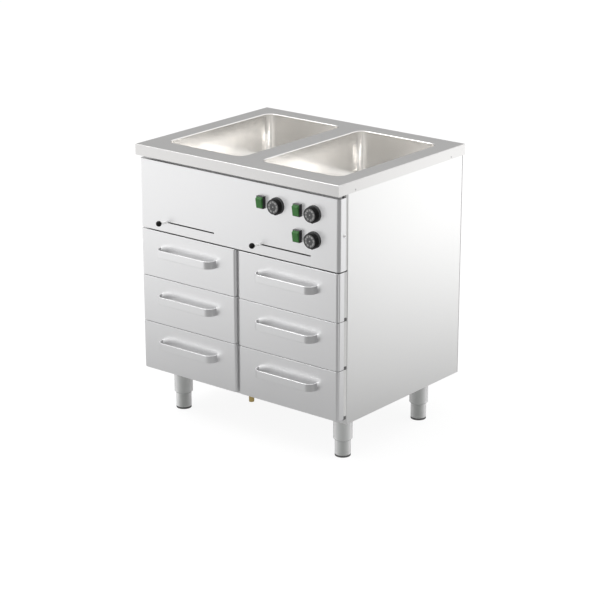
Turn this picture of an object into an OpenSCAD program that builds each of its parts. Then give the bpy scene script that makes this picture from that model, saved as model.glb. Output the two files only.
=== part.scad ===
// Hot cupboard: a steel cabinet on four legs, with two wet wells in its worktop, a
// control panel, and six heated drawers in two columns. Front is -Y, the floor is z = 0.

/* [Worktop] */
// Width of the worktop
top_w = 805; // [765:5:860]
// Depth of the worktop, front to back
top_d = 645; // [625:5:680]
// Height of the worktop above the floor
top_z = 900; // [890:5:940]
// Height of the folded skirt
skirt_h = 35; // [28:1:44]
// Width of the fold under the skirt
skirt_lip = 18; // [14:1:24]
// Thickness of the worktop sheet
top_sheet = 1.5; // [1.2:0.1:1.8]
// Outer radius of the worktop's top edges
top_edge_r = 2; // [2:0.1:4]

/* [Wells] */
// Inside width of a well
well_w = 305; // [260:5:310]
// Inside length of a well
well_d = 502; // [450:2:508]
// Depth of a well below the worktop
well_depth = 160; // [110:5:190]
// Distance between the two wells
well_gap = 75; // [70:1:90]
// Distance from the worktop's front edge to the wells
well_margin = 81; // [74:1:95]
// Radius of a well's upright corners
well_corner_r = 30; // [27:1:50]
// Radius between a well's walls and its floor
well_floor_r = 25; // [15:1:28]
// Radius of a well's rolled rim
well_rim_r = 3; // [2.5:0.1:5]
// Diameter of the drain hole in a well's floor
drain_d = 30; // [20:1:34]

/* [Cabinet] */
// Thickness of the cabinet's sheet steel
sheet = 1.5; // [1.2:0.1:2]
// How far the cabinet's sides lie inside the worktop's edge
side_inset = 6; // [3:0.5:9]
// How far the front faces lie behind the worktop's front edge
face_inset = 11; // [8:0.5:14]
// How far the back lies inside the worktop's back edge
back_inset = 2; // [1:0.5:6]
// How far the side panels' front edges lie behind the front faces
side_set_back = 40.5; // [40:0.5:48]
// Width of the folds along the side panels' front and back edges
side_flange = 10; // [8:0.5:10.5]
// Bend radius of the side panels' folds
side_bend_r = 3; // [2.5:0.1:5]
// Height of the base above the floor
base_z = 139; // [126:1:150]
// Thickness of the base plate
base_sheet = 2; // [1.5:0.1:3]
// Height of the base plate's folded front and back edges
base_edge = 16; // [12:1:18]
// Width of the hollow divider between the drawer columns
divider_w = 24; // [22:0.5:26]

/* [Control panel] */
// Gap between the skirt and the control panel
panel_top_gap = 11; // [8:0.5:14]
// Depth of the control panel's folded ends
panel_fold = 32.5; // [31:0.5:38]
// Bend radius of the upright front edges
bend_r = 9.5; // [6:0.5:11]
// Distance from the panel's top edge to the middle of the upper switches
control_drop = 55.5; // [50:0.5:62]
// Height between the two rows of controls
control_pitch = 80; // [64:1:84]
// Position of the first switch, right of the middle
switch_left_x = 104; // [100:1:120]
// Distance from the first switch to the second
switch_pitch = 140; // [120:1:142]
// Distance from a switch to its knob
knob_step = 61; // [54:1:64]
// How far a knob lies below the middle of its switch
knob_drop = 1.5; // [0:0.5:3]

/* [Switches] */
// Width of a switch's bezel
switch_w = 26.5; // [24:0.5:28]
// Height of a switch's bezel
switch_h = 38; // [36:0.5:40]
// How far the bezel stands out of the panel
switch_out = 17.5; // [16:0.5:18.5]
// Wall of the bezel round the rocker
switch_wall = 1.3; // [1:0.1:1.4]
// Depth of the housing behind the panel
switch_back = 24; // [20:1:30]
// Distance from the rocker's pivot to its face
rocker_reach = 9.5; // [8.5:0.5:10.5]
// Tilt of the rocker either way
rocker_tilt = 7; // [5:0.5:8.5]

/* [Knobs] */
// Diameter of a knob's skirt
knob_d = 52; // [50:1:54]
// Depth of a knob
knob_h = 24; // [20:1:28]
// Diameter of the dial in a knob's face
dial_d = 42; // [36:1:43]
// Reach of a knob's pointer from its axis
pointer_reach = 29; // [28:0.5:34]
// Diameter of a knob's shaft
shaft_d = 8; // [6:0.5:10]
// Diameter of a thermostat's body
thermostat_d = 38; // [32:1:44]
// Depth of a thermostat's body
thermostat_h = 34; // [28:1:40]

/* [Drain levers] */
// How far the ball knobs stand in front of the worktop
lever_overhang = 27; // [26:1:34]
// Height of the levers above the panel's lower edge
lever_rise = 32.5; // [31:0.5:38]
// Swing of a lever either side of straight ahead
lever_angle = 16.5; // [14:0.5:17.5]
// Width of a lever's flat bar
lever_w = 7; // [6:0.5:9]
// Thickness of a lever's flat bar
lever_t = 3; // [2.5:0.1:4]
// Diameter of a ball knob
ball_d = 18; // [15:0.5:20]
// Diameter of a lever's round end
stub_d = 8; // [6:0.5:9]
// Length of a lever's round end outside its ball knob
stub_len = 16.5; // [12:0.5:17]
// Diameter of a lever's hub
hub_d = 44; // [42:1:48]
// Height of a lever's hub
hub_h = 12; // [10:0.5:13]
// Diameter of the pin that a hub turns on
pin_d = 10; // [8:0.5:11]

/* [Drain] */
// Diameter of the valve bodies
valve_d = 40; // [36:1:42]
// Diameter of a valve's flange under the well
valve_flange_d = 64; // [60:1:80]
// Thickness of a valve's flange
valve_flange_h = 3; // [2:0.5:5]
// Height of a valve's lower cup
cup_h = 21; // [20:0.5:22]
// Diameter of the drain pipe
pipe_d = 16; // [14:0.5:17]
// Wall of the drain pipe
pipe_wall = 1.5; // [1:0.1:2]
// Distance of the outlet behind the front faces
outlet_back = 66; // [64:1:90]
// Diameter of the brass outlet
outlet_d = 17; // [15:0.5:18]
// Length of the brass outlet below the base
outlet_len = 27; // [20:1:40]

/* [Drawers] */
// Height of the drawer fronts in the two upper rows
front_h = 152.6; // [146:0.1:154]
// Height of the drawer fronts in the bottom row
front_bottom_h = 158.6; // [150:0.1:160]
// Height of the lowest fronts above the base
front_rise = 20; // [18:0.5:26]
// Gap between drawer rows
row_gap = 1.6; // [1.2:0.1:3]
// Gap between the top drawers and the control panel
panel_gap = 4.4; // [3:0.1:7]
// Gap between the two drawer columns
column_gap = 10.3; // [8:0.1:12]
// How far the drawer fronts stay inside the cabinet's sides
front_inset = 2; // [1.5:0.5:4]
// Depth of the drawer fronts' folded edges
front_fold = 28.5; // [22:0.5:30]
// Room for a runner and its rail beside a drawer box
rail_space = 15.5; // [14:0.5:24]
// Depth of a drawer box
box_d = 545; // [500:5:560]
// Height of a drawer box
box_h = 110; // [90:1:120]
// Height of a drawer box above its front's lower edge
box_rise = 15; // [14:0.5:20]
// Height of a drawer's runner bars
bar_h = 24; // [18:1:30]
// Height of the runner bars above the drawer box's floor
bar_rise = 30; // [20:1:36]
// Thickness of the fixed rails
rail_sheet = 2; // [1.5:0.1:2.5]

/* [Handles] */
// Width of a bow handle
handle_w = 232; // [180:2:260]
// How far a handle stands out
handle_out = 32; // [29:1:36]
// Height of a handle's strip
handle_h = 25; // [20:1:30]
// Thickness of a handle's strip
handle_t = 3; // [2:0.5:5]
// Outer bend radius of a handle
handle_bend_r = 28; // [18:1:28]
// Distance from a front's top edge to its handle
handle_drop = 50.2; // [40:0.1:70]

/* [Legs] */
// Distance between the legs, side to side
leg_span_x = 658; // [600:2:680]
// Distance between the legs, front to back
leg_span_y = 400; // [360:2:460]
// Diameter of a leg socket
leg_d = 60; // [56:1:70]
// Diameter of a foot's stem
foot_d = 50; // [40:1:52]
// Height of a foot below its socket
foot_show = 55; // [46:1:66]
// Height of a foot's pad
pad_h = 4; // [3:0.5:8]
// Diameter of a foot's pad
pad_d = 46; // [36:1:48]
// Length of a foot's stem inside its socket
stem_in = 62; // [54:1:64]
// Thickness of a leg socket's mounting flange
leg_flange_h = 4; // [3:0.5:6]
// Width of a leg socket's mounting flange
leg_flange_w = 84; // [76:1:90]

/* [Heating] */
// Diameter of the heating tubes
heater_d = 8; // [6:0.5:10]
// Width of a heating loop
heater_w = 200; // [160:5:220]
// Length of a heating loop
heater_l = 380; // [320:5:400]
// Bend radius of a heating loop
heater_r = 40; // [24:1:60]

/* [Hidden] */
$fn = 64;
// Extra length that lets a cut pass clear through
overrun = 1;
// Play of a pin or shaft in its hole, all round
shaft_play = 0.05;
// Play of a piece that is set in an opening
seat_play = 0.2;
// Play of a sliding piece
slide_play = 0.6;
// Play between a drawer front and its inner skin
skin_play = 0.3;
// Gap between a drawer front and its buffer
buffer_gap = 0.3;
// Gap above and below a turning hub
hub_play = 0.5;
// Play of a foot's stem in its socket
stem_play = 0.3;
// Room beside a lever at the ends of its slot
slot_end_play = 1;
// Room round the drain pipe where it passes a sheet
pipe_room = 1;
// Gap between a knob and the panel
knob_gap = 1;
// Gap between a rail's lips and the drawer box
rail_gap = 1.5;
// Gap between a runner bar and the side panel's front fold
bar_room = 1.5;
// Share of a ball knob's diameter that its lever's round end goes in
stub_in_share = 0.33;

// Worktop and cabinet planes
top_back_y = (top_d + lever_overhang) / 2;
top_front_y = top_back_y - top_d;
top_mid_y = (top_front_y + top_back_y) / 2;
face_y = top_front_y + face_inset;
body_half = top_w / 2 - side_inset;
back_y = top_back_y - back_inset;
back_in_y = back_y - sheet;
side_y = face_y + side_set_back;
skirt_z = top_z - skirt_h;

// Drawer rows from the bottom up, and the panel above them
front_z0 = base_z + front_rise;
row_heights = [front_bottom_h, front_h, front_h];
row_z = [
    front_z0,
    front_z0 + front_bottom_h + row_gap,
    front_z0 + front_bottom_h + front_h + 2 * row_gap
];
panel_z0 = row_z[2] + front_h + panel_gap;
panel_z1 = skirt_z - panel_top_gap;
deck_z = panel_z0 + sheet;
deck_top_z = deck_z + sheet;

// Wells
well_x = (well_w + well_gap) / 2;
well_y = top_front_y + well_margin + well_d / 2;
well_under_z = top_z - well_depth - sheet;

// Drawer columns
column_side = body_half - sheet;
column_mid = (divider_w / 2 + column_side) / 2;
box_w = column_side - divider_w / 2 - 2 * rail_space;
bar_w = rail_space - (side_flange - sheet) - bar_room;
front_side = body_half - front_inset;
front_w = front_side - column_gap / 2;
front_mid = (front_side + column_gap / 2) / 2;
box_y = face_y + front_fold;
divider_recess = 7;
divider_y = side_y + divider_recess;
rail_past_box = 15;
rail_end_y = box_y + box_d + rail_past_box;

// Levers, valves and drain
lever_z = panel_z0 + lever_rise;
ball_y = top_front_y - lever_overhang + ball_d / 2;
lever_len = (well_y - ball_y) / cos(lever_angle);
bar_len = lever_len - ball_d / 2 - stub_len;
stub_in = ball_d * stub_in_share;
slot_half = (well_y - face_y) * tan(lever_angle) + lever_w / 2 / cos(lever_angle) + slot_end_play;
slot_h = lever_t + 2 * slide_play;
cup_top_z = lever_z - hub_h / 2 - hub_play;
valve_z = lever_z + hub_h / 2 + hub_play;
pipe_z = cup_top_z - cup_h / 2;
outlet_y = face_y + outlet_back;
gland_side = 150;
gland_back = 60;
gland_x = body_half - gland_side;
gland_y = back_y - gland_back;
gland_hole_d = 10;

// Controls
upper_z = panel_z1 - control_drop;
lower_z = upper_z - control_pitch;
switch_places = [
    [switch_left_x, upper_z],
    [switch_left_x + switch_pitch, upper_z],
    [switch_left_x + switch_pitch, lower_z]
];
rocker_play = 0.5;
rocker_end_play = 1.7;
pivot_out = 9;
pivot_d = 3;
bezel_lip = 2;
bezel_floor = 1.5;
window_w = switch_w - 2 * bezel_lip;
window_h = switch_h - 2 * bezel_lip;
cavity_w = switch_w - 2 * switch_wall;
cavity_h = switch_h - 2 * switch_wall;
rocker_h = cavity_h - 2 * rocker_end_play;

COLUMNS = ["left", "right"];
ROWS = ["bottom", "middle", "top"];
CONTROLS = ["left", "upper", "lower"];
CORNERS = ["front_left", "front_right", "back_left", "back_right"];

steel = [0.80, 0.80, 0.79];
bright_steel = [0.86, 0.86, 0.85];
dark_rubber = [0.10, 0.10, 0.10];
black_plastic = [0.08, 0.08, 0.08];
green_plastic = [0.22, 0.46, 0.20];
brass = [0.72, 0.58, 0.25];
leg_grey = [0.55, 0.58, 0.55];

// Block between two opposite corners
module block(x0, x1, y0, y1, z0, z1) {
    translate([x0, y0, z0]) cube([x1 - x0, y1 - y0, z1 - z0]);
}

// Outline with two rounded front corners, its front edge on y = 0
module front_outline(w, d, r) {
    translate([-w / 2, r]) square([w, d - r]);
    translate([r - w / 2, 0]) square([w - 2 * r, d]);
    for (side = [-1, 1]) translate([side * (w / 2 - r), r]) intersection() {
        circle(r);
        translate([-r, -r]) square([2 * r, r]);
    }
}

// Strip of sheet folded back at both ends
module folded_strip(w, d, r, t) {
    difference() {
        front_outline(w, d, r);
        translate([0, t]) front_outline(w - 2 * t, d, r - t);
    }
}

// Rectangle with round corners
module round_rect(w, d, r) {
    square([w - 2 * r, d], center = true);
    square([w, d - 2 * r], center = true);
    for (x = [-1, 1], y = [-1, 1]) translate([x * (w / 2 - r), y * (d / 2 - r)]) circle(r);
}

// Carries a 2-D section round the outline of a rectangle with round corners
module round_sweep(w, d, r) {
    for (turn = [0, 1]) {
        along = turn == 0 ? d : w;
        across = turn == 0 ? w : d;
        for (side = [0, 180]) rotate([0, 0, side + 90 * turn]) {
            translate([across / 2, 0, 0]) rotate([90, 0, 0])
                linear_extrude(along - 2 * r, center = true) children();
            translate([across / 2 - r, along / 2 - r, 0])
                rotate_extrude(angle = 90) translate([r, 0]) children();
        }
    }
}

// Worktop: one folded sheet with skirts, a lip below them and two openings
module worktop() {
    color(steel) difference() {
        intersection() {
            translate([0, top_back_y, skirt_z]) rotate([90, 0, 0])
                linear_extrude(top_d) top_profile(top_w);
            translate([top_w / 2, top_mid_y, skirt_z]) rotate([90, 0, -90])
                linear_extrude(top_w) top_profile(top_d);
        }
        block(top_sheet - top_w / 2, top_w / 2 - top_sheet, top_front_y + top_sheet,
            top_back_y - top_sheet, skirt_z + top_sheet, top_z - top_sheet);
        block(skirt_lip - top_w / 2, top_w / 2 - skirt_lip, top_front_y + skirt_lip,
            top_back_y - skirt_lip, skirt_z - overrun, skirt_z + top_sheet + overrun);
        for (side = [-1, 1]) translate([side * well_x, well_y, top_z - top_sheet - overrun])
            linear_extrude(top_sheet + 2 * overrun)
                round_rect(well_w + 2 * well_rim_r, well_d + 2 * well_rim_r,
                    well_corner_r + well_rim_r);
    }
}

// Skirt profile with rounded upper corners, standing on y = 0
module top_profile(w) {
    translate([0, skirt_h]) mirror([0, 1]) front_outline(w, skirt_h, top_edge_r);
}

// Well: pressed basin with a rolled rim, round corners and a drain hole
module well(side) {
    floor_w = well_w - 2 * well_floor_r;
    floor_d = well_d - 2 * well_floor_r;
    color(bright_steel) translate([side * well_x, well_y, top_z]) {
        round_sweep(well_w, well_d, well_corner_r) well_section();
        translate([0, 0, -well_depth - sheet]) difference() {
            linear_extrude(sheet) round_rect(floor_w, floor_d, well_corner_r - well_floor_r);
            translate([0, 0, -overrun]) cylinder(d = drain_d, h = sheet + 2 * overrun);
        }
    }
}

// Wall of a well in section: x is outward from the inside face, y is up from the worktop
module well_section() {
    wall_h = well_depth - well_floor_r - well_rim_r;
    intersection() {
        translate([well_rim_r, -well_rim_r]) difference() {
            circle(well_rim_r);
            circle(well_rim_r - sheet);
        }
        translate([0, -well_rim_r]) square(well_rim_r);
    }
    translate([0, -well_rim_r - wall_h]) square([sheet, wall_h]);
    intersection() {
        translate([-well_floor_r, well_floor_r - well_depth]) difference() {
            circle(well_floor_r + sheet);
            circle(well_floor_r);
        }
        translate([-well_floor_r, -well_depth - sheet])
            square([well_floor_r + sheet, well_floor_r + sheet]);
    }
}

// Control panel: folded front with openings for switches, shafts and levers, and an upstand
module control_panel() {
    panel_h = panel_z1 - panel_z0;
    upstand_back = 26;
    upstand_half = body_half - side_flange;
    color(steel) difference() {
        translate([0, face_y, panel_z0]) {
            linear_extrude(panel_h) folded_strip(2 * body_half, panel_fold, bend_r, sheet);
            for (z = [0, panel_h - sheet]) translate([0, 0, z])
                linear_extrude(sheet) front_outline(2 * body_half, panel_fold, bend_r);
            block(-upstand_half, upstand_half, upstand_back, upstand_back + sheet,
                panel_h - sheet, skirt_z - panel_z0);
        }
        for (place = switch_places) {
            translate([place[0], face_y, place[1]]) cube([window_w + 2 * seat_play,
                2 * sheet + 2 * overrun, window_h + 2 * seat_play], center = true);
            translate([place[0] + knob_step, face_y, place[1] - knob_drop]) rotate([90, 0, 0])
                cylinder(d = shaft_d + 2 * slide_play, h = 2 * sheet + 2 * overrun, center = true);
        }
        for (side = [-1, 1]) translate([side * well_x, face_y, lever_z])
            cube([2 * slot_half, 2 * sheet + 2 * overrun, slot_h], center = true);
    }
}

// Side panel: tall sheet with narrow folds along its front and back edges
module side_panel(side) {
    panel_d = back_in_y - side_y;
    color(steel) translate([side * body_half, (side_y + back_in_y) / 2, base_z])
        rotate([0, 0, side * 90]) linear_extrude(skirt_z - base_z)
            folded_strip(panel_d, side_flange, side_bend_r, sheet);
}

// Back panel: flat sheet over the side panels' back folds
module back_panel() {
    color(steel) block(-body_half, body_half, back_in_y, back_y, base_z, skirt_z);
}

// Base plate: floor of the cabinet with its front and back edges folded up
module base_plate() {
    half = body_half - side_flange;
    edge_y = [side_y + sheet, back_in_y - sheet - base_sheet];
    color(steel) difference() {
        union() {
            block(-column_side, column_side, edge_y[0], edge_y[1] + base_sheet,
                base_z, base_z + base_sheet);
            for (y = edge_y) block(-half, half, y, y + base_sheet, base_z, base_z + base_edge);
        }
        translate([0, outlet_y, base_z - overrun])
            cylinder(d = pipe_d + 2 * pipe_room, h = base_sheet + 2 * overrun);
        translate([gland_x, gland_y, base_z - overrun])
            cylinder(d = gland_hole_d, h = base_sheet + 2 * overrun);
    }
}

// Inner deck: shelf between the controls and the drawers, on the panel's lower fold
module inner_deck() {
    half = body_half - side_flange;
    color(steel) difference() {
        block(-half, half, face_y + bend_r, back_in_y, deck_z, deck_top_z);
        translate([0, outlet_y, deck_z - overrun])
            cylinder(d = pipe_d + 2 * pipe_room, h = sheet + 2 * overrun);
    }
}

// Centre divider: hollow upright between the drawer columns, carrying rails
module centre_divider() {
    floor_z = base_z + base_sheet;
    color(steel) translate([0, divider_y, floor_z]) linear_extrude(deck_z - floor_z)
        folded_strip(divider_w, rail_end_y - divider_y, side_bend_r, sheet);
}

// Cover strip: stands on the divider's front and narrows the gap between the drawer columns
module centre_strip() {
    strip_play = 1.3;
    strip_set_back = 20;
    half = column_gap / 2 - strip_play;
    color(steel) block(-half, half, face_y + strip_set_back, divider_y, front_z0, row_z[2] + front_h);
}

// Fixed rails of one drawer column: two open channels for each drawer
module drawer_rails(side) {
    lip = rail_space - rail_gap;
    gap = bar_h + 2 * slide_play;
    color(bright_steel) for (row = [0, 1, 2], wall = [-1, 1])
        translate([side * column_mid, 0, row_z[row] + box_rise + bar_rise + bar_h / 2])
            difference() {
                translate([wall * (box_w / 2 + rail_space - lip / 2), (divider_y + rail_end_y) / 2, 0])
                    cube([lip, rail_end_y - divider_y, gap + 2 * rail_sheet], center = true);
                translate([wall * (box_w / 2 + rail_space - rail_sheet - lip / 2),
                    (divider_y + rail_end_y) / 2, 0])
                    cube([lip, rail_end_y - divider_y + 2 * overrun, gap], center = true);
            }
}

// Drawer front: folded tray with rounded upright edges
module drawer_front(side, row) {
    h = row_heights[row];
    color(steel) translate([side * front_mid, face_y, row_z[row]]) {
        linear_extrude(h) folded_strip(front_w, front_fold, bend_r, sheet);
        for (z = [0, h - sheet]) translate([0, 0, z])
            linear_extrude(sheet) front_outline(front_w, front_fold, bend_r);
    }
}

// Drawer box: open box on the front's inner skin, with a runner bar on each side
module drawer_box(side, row) {
    h = row_heights[row];
    skin_w = front_w - 2 * sheet - 2 * skin_play;
    skin_h = h - 2 * sheet - 2 * skin_play;
    color(bright_steel) {
        translate([side * front_mid, box_y - sheet / 2, row_z[row] + h / 2])
            cube([skin_w, sheet, skin_h], center = true);
        translate([side * column_mid - box_w / 2, box_y, row_z[row] + box_rise]) {
            difference() {
                cube([box_w, box_d, box_h]);
                translate([sheet, sheet, sheet])
                    cube([box_w - 2 * sheet, box_d - 2 * sheet, box_h]);
            }
            for (x = [-bar_w, box_w]) translate([x, 0, bar_rise]) cube([bar_w, box_d, bar_h]);
        }
    }
}

// Bow handle: steel strip bent at both ends and set on the drawer front
module drawer_handle(side, row) {
    handle_z = row_z[row] + row_heights[row] - handle_drop - handle_h;
    color(bright_steel) translate([side * front_mid, face_y - handle_out, handle_z])
        linear_extrude(handle_h) folded_strip(handle_w, handle_out, handle_bend_r, handle_t);
}

// Rubber buffers on the side panels' front folds, one for each drawer
module drawer_buffers() {
    buffer_h = 12;
    buffer_drop = 3;
    inner = body_half - side_flange;
    color(dark_rubber) for (side = [-1, 1], z = row_z) mirror([side < 0 ? 1 : 0, 0, 0])
        block(inner, body_half - side_bend_r, box_y + buffer_gap, side_y,
            z - buffer_drop, z - buffer_drop + buffer_h);
}

// Screws in the control panel's folded ends
module panel_screws() {
    screw_d = 8;
    screw_h = 2.2;
    socket_d = 4;
    socket_h = 1.2;
    screw_back = 26;
    screw_drop = 4;
    color(bright_steel) for (side = [-1, 1])
        translate([side * body_half, face_y + screw_back, (panel_z0 + panel_z1) / 2 - screw_drop])
            rotate([0, side * 90, 0]) difference() {
                cylinder(d = screw_d, h = screw_h);
                translate([0, 0, screw_h - socket_h])
                    cylinder(d = socket_d, h = socket_h + overrun, $fn = 6);
            }
}

// Leg sockets: flanged tubes under the base, closed at the top
module leg_sockets() {
    bevel = 3;
    roof = 3;
    bore_top_z = base_z - leg_flange_h - roof;
    color(leg_grey) for (x = [-1, 1], y = [-1, 1])
        translate([x * leg_span_x / 2, top_mid_y + y * leg_span_y / 2, 0]) difference() {
            union() {
                translate([0, 0, base_z - leg_flange_h / 2])
                    cube([leg_flange_w, leg_flange_w, leg_flange_h], center = true);
                rotate_extrude() polygon([
                    [0, foot_show], [leg_d / 2 - bevel, foot_show], [leg_d / 2, foot_show + bevel],
                    [leg_d / 2, base_z - leg_flange_h], [0, base_z - leg_flange_h]
                ]);
            }
            translate([0, 0, foot_show - overrun])
                cylinder(d = foot_d + 2 * stem_play, h = bore_top_z - foot_show + overrun);
        }
}

// Adjustable foot: stem that slides in its socket, on a pad
module foot(x, y) {
    color(leg_grey) translate([x * leg_span_x / 2, top_mid_y + y * leg_span_y / 2, 0]) {
        cylinder(d = pad_d, h = pad_h);
        translate([0, 0, pad_h]) cylinder(d = foot_d, h = foot_show - pad_h + stem_in);
    }
}

// Switch housing: deep bezel on the panel, with a body behind it and a pivot pin
module switch_housing(place) {
    cavity = switch_out - bezel_floor;
    color(black_plastic) translate([place[0], face_y, place[1]]) {
        difference() {
            union() {
                translate([0, -switch_out / 2, 0]) cube([switch_w, switch_out, switch_h], center = true);
                translate([0, switch_back / 2, 0]) cube([window_w, switch_back, window_h], center = true);
            }
            translate([0, -bezel_floor - (cavity + overrun) / 2, 0])
                cube([cavity_w, cavity + overrun, cavity_h], center = true);
        }
        translate([0, -pivot_out, 0]) rotate([0, 90, 0])
            cylinder(d = pivot_d, h = switch_w - switch_wall, center = true);
    }
}

// Rocker: green key with a hollowed face on the housing's pin, tilted to one side
module rocker(place) {
    back_share = 0.42;
    back_half_share = 0.30;
    nose_share = 0.9;
    dip_share = 0.86;
    edge = 1;
    w = cavity_w - 2 * rocker_play;
    half = rocker_h / 2;
    color(green_plastic) translate([place[0], face_y - pivot_out, place[1]])
        rotate([rocker_tilt, 0, 0]) rotate([0, -90, 0]) difference() {
            linear_extrude(w, center = true) polygon([
                [half - edge, -rocker_reach], [half, -rocker_reach * nose_share],
                [half, 0], [rocker_h * back_half_share, rocker_reach * back_share],
                [-rocker_h * back_half_share, rocker_reach * back_share], [-half, 0],
                [-half, -rocker_reach * nose_share], [edge - half, -rocker_reach],
                [0, -rocker_reach * dip_share]
            ]);
            cylinder(d = pivot_d + 2 * shaft_play, h = w + 2 * overrun, center = true);
        }
}

// Thermostats behind the panel, each bored for its knob's shaft
module thermostats() {
    color(steel) for (place = switch_places)
        translate([place[0] + knob_step, face_y + sheet, place[1] - knob_drop]) rotate([-90, 0, 0])
            difference() {
                cylinder(d = thermostat_d, h = thermostat_h);
                translate([0, 0, -overrun])
                    cylinder(d = shaft_d + 2 * shaft_play, h = thermostat_h / 2 + overrun);
            }
}

// Knob: skirted dial with a pointer, on a shaft that reaches into its thermostat
module knob(place) {
    skirt_share = 0.28;
    waist_share = 0.95;
    crown_share = 0.90;
    brow_share = 0.88;
    dial_sink = 0.6;
    pointer_shares = [0.10, 0.55];
    r = knob_d / 2;
    rim_r = (dial_d / 2 + r * crown_share) / 2;
    pointer_r = r * crown_share;
    touch_x = pointer_r * sqrt(1 - pow(pointer_r / pointer_reach, 2));
    touch_y = pow(pointer_r, 2) / pointer_reach;
    shaft_len = knob_gap + sheet + thermostat_h / 2 - slide_play;
    color(black_plastic) translate([place[0] + knob_step, face_y - knob_gap, place[1] - knob_drop])
        rotate([90, 0, 0]) {
            difference() {
                rotate_extrude() polygon([
                    [0, 0], [r, 0], [r, knob_h * skirt_share], [r * waist_share, knob_h * skirt_share],
                    [r * crown_share, knob_h * brow_share], [rim_r, knob_h], [0, knob_h]
                ]);
                translate([0, 0, knob_h - dial_sink]) cylinder(d = dial_d, h = dial_sink + overrun);
            }
            translate([0, 0, knob_h * pointer_shares[0]])
                linear_extrude(knob_h * (pointer_shares[1] - pointer_shares[0]))
                    polygon([[0, 0], [touch_x, -touch_y], [0, -pointer_reach], [-touch_x, -touch_y]]);
            translate([0, 0, -shaft_len]) cylinder(d = shaft_d, h = shaft_len + dial_sink);
        }
}

// Drain valve: flanged spout above the lever's hub, a cup below it, and a yoke behind
module drain_valve(side) {
    spout_h = well_under_z - valve_flange_h - valve_z;
    bore_d = drain_d - 2 * sheet;
    yoke_w = 16;
    yoke_t = 9;
    yoke_room = 2;
    yoke_reach = hub_d / 2 + yoke_room;
    color(steel) translate([side * well_x, well_y, 0]) {
        difference() {
            union() {
                translate([0, 0, valve_z]) cylinder(d = valve_d, h = spout_h);
                translate([0, 0, well_under_z - valve_flange_h])
                    cylinder(d = valve_flange_d, h = valve_flange_h);
            }
            translate([0, 0, valve_z - overrun])
                cylinder(d = bore_d, h = well_under_z - valve_z + 2 * overrun);
        }
        translate([0, 0, cup_top_z - cup_h]) cylinder(d = valve_d, h = cup_h);
        translate([0, 0, cup_top_z]) cylinder(d = pin_d, h = hub_h + hub_play);
        difference() {
            block(-yoke_w / 2, yoke_w / 2, bore_d / 2, yoke_reach + yoke_t, cup_top_z - cup_h,
                valve_z + hub_h);
            translate([0, 0, cup_top_z]) cylinder(r = yoke_reach, h = valve_z - cup_top_z);
            translate([0, 0, valve_z - overrun]) cylinder(d = bore_d, h = hub_h + 2 * overrun);
        }
    }
}

// Drain lever: hub on the valve's pin, flat bar through the panel's slot, round end
module drain_lever(side) {
    port_share = 0.30;
    port_d = 12;
    color(bright_steel) translate([side * well_x, well_y, lever_z]) rotate([0, 0, -lever_angle])
        difference() {
            union() {
                cylinder(d = hub_d, h = hub_h, center = true);
                block(-lever_w / 2, lever_w / 2, -bar_len, 0, -lever_t / 2, lever_t / 2);
                translate([0, -bar_len, 0]) rotate([90, 0, 0])
                    cylinder(d = stub_d, h = stub_len + stub_in);
            }
            cylinder(d = pin_d + 2 * shaft_play, h = hub_h + 2 * overrun, center = true);
            translate([hub_d * port_share, 0, 0])
                cylinder(d = port_d, h = hub_h + 2 * overrun, center = true);
        }
}

// Ball knob on the lever's round end
module lever_ball(side) {
    color(black_plastic) translate([side * well_x, well_y, lever_z]) rotate([0, 0, -lever_angle])
        translate([0, -lever_len, 0]) difference() {
            sphere(d = ball_d);
            translate([0, ball_d / 2 - stub_in, 0]) rotate([-90, 0, 0])
                cylinder(d = stub_d + 2 * seat_play, h = stub_in + overrun);
        }
}

// Drain pipe: joins both valves, runs forward, and drops through the divider
module drain_pipe() {
    reach = well_x - valve_d / 2;
    drop = pipe_z - base_z;
    color(steel) difference() {
        pipe_run(pipe_d, reach, drop);
        pipe_run(pipe_d - 2 * pipe_wall, reach + overrun, drop + overrun);
    }
}

// The pipe's three straight runs, with round elbows
module pipe_run(d, reach, drop) {
    translate([-reach, well_y, pipe_z]) rotate([0, 90, 0]) cylinder(d = d, h = 2 * reach);
    translate([0, well_y, pipe_z]) rotate([90, 0, 0]) cylinder(d = d, h = well_y - outlet_y);
    translate([0, outlet_y, pipe_z]) sphere(d = d);
    translate([0, outlet_y, pipe_z - drop]) cylinder(d = d, h = drop);
}

// Drain outlet: brass nipple with a hexagon under the base
module drain_outlet() {
    hexagon_d = 28;
    hexagon_h = 7;
    color(brass) translate([0, outlet_y, base_z - outlet_len]) difference() {
        union() {
            cylinder(d = outlet_d, h = outlet_len);
            translate([0, 0, outlet_len - hexagon_h]) cylinder(d = hexagon_d, h = hexagon_h, $fn = 6);
        }
        translate([0, 0, -overrun])
            cylinder(d = pipe_d - 2 * pipe_wall, h = outlet_len + 2 * overrun);
    }
}

// Loop of heating tube, lying level
module heating_loop() {
    round_sweep(heater_w, heater_l, heater_r) circle(d = heater_d);
}

// Heating loops pressed against the undersides of the wells
module well_heaters() {
    color(dark_rubber) for (side = [-1, 1])
        translate([side * well_x, well_y, well_under_z - heater_d / 2]) heating_loop();
}

// Heating loops on the base plate, one under each drawer column
module cupboard_heaters() {
    color(dark_rubber) for (side = [-1, 1])
        translate([side * column_mid, top_mid_y, base_z + base_sheet + heater_d / 2]) heating_loop();
}

// Cable gland under the base, near the back
module cable_gland() {
    gland_d = 28;
    gland_h = 8;
    cap_d = 22;
    cap_h = 12;
    color(black_plastic) translate([gland_x, gland_y, base_z - gland_h - cap_h])
        difference() {
            union() {
                cylinder(d = cap_d, h = cap_h + gland_h);
                translate([0, 0, cap_h]) cylinder(d = gland_d, h = gland_h, $fn = 6);
            }
            translate([0, 0, -overrun]) cylinder(d = gland_hole_d, h = cap_h + gland_h + 2 * overrun);
        }
}

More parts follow.
